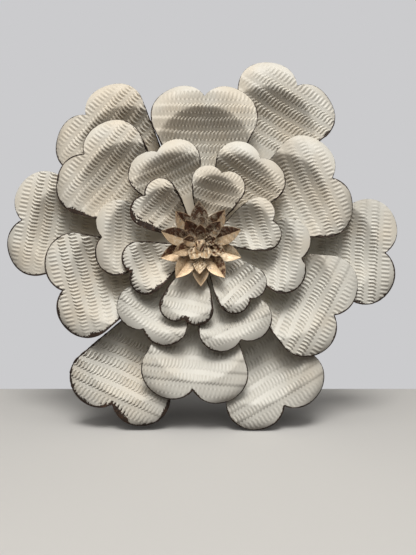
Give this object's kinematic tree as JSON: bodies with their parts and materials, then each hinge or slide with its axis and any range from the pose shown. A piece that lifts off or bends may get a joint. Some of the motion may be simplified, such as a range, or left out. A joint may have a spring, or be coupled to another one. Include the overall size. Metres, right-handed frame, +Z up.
{
  "type": "layered sheet metal flower wall ornament",
  "caption": "Large wall flower: rows of heart-shaped embossed sheet metal petals with chipped white paint round a folded gold lotus, hung on a keyhole plate.",
  "frame": {"origin": "flat back face of the keyhole hanger, just below its keyhole, in the plane of the wall", "axes": "+Z up, -Y out of the wall towards the viewer, +X to the right seen from the front; the flower's own axis is parallel to Y, 45.3 mm below the origin"},
  "size_m": [0.6003, 0.0862, 0.5705],
  "materials": {
    "white_paint": "distressed off-white paint on embossed sheet, chipped to dark brown at the edges",
    "brown_primer": "dull dark brown paint",
    "antique_gold": "champagne gold with brown patina",
    "zinc_steel": "zinc plated"
  },
  "bodies": {
    "root": {"outer_petal_1": "white_paint", "outer_petal_2": "white_paint", "outer_petal_3": "white_paint", "outer_petal_4": "white_paint", "outer_petal_5": "white_paint", "outer_petal_6": "white_paint", "outer_plate": "brown_primer", "outer_spacer": "zinc_steel", "third_petal_1": "white_paint", "third_petal_2": "white_paint", "third_petal_3": "white_paint", "third_petal_4": "white_paint", "third_petal_5": "white_paint", "third_petal_6": "white_paint", "third_plate": "brown_primer", "third_spacer": "zinc_steel", "second_petal_1": "white_paint", "second_petal_2": "white_paint", "second_petal_3": "white_paint", "second_petal_4": "white_paint", "second_petal_5": "white_paint", "second_petal_6": "white_paint", "second_plate": "brown_primer", "second_spacer": "zinc_steel", "inner_petal_1": "white_paint", "inner_petal_2": "white_paint", "inner_petal_3": "white_paint", "inner_petal_4": "white_paint", "inner_petal_5": "white_paint", "inner_petal_6": "white_paint", "inner_plate": "brown_primer", "inner_spacer": "zinc_steel", "lotus_back_star": "antique_gold", "lotus_front_star": "antique_gold", "lotus_middle_star": "antique_gold", "lotus_top_star": "antique_gold", "lotus_collar_1": "antique_gold", "lotus_collar_2": "antique_gold", "lotus_collar_3": "antique_gold", "lotus_bud": "antique_gold", "centre_screw": "zinc_steel", "rear_washer": "zinc_steel", "rear_nut": "zinc_steel", "keyhole_hanger": "zinc_steel"}
  },
  "joints": []
}
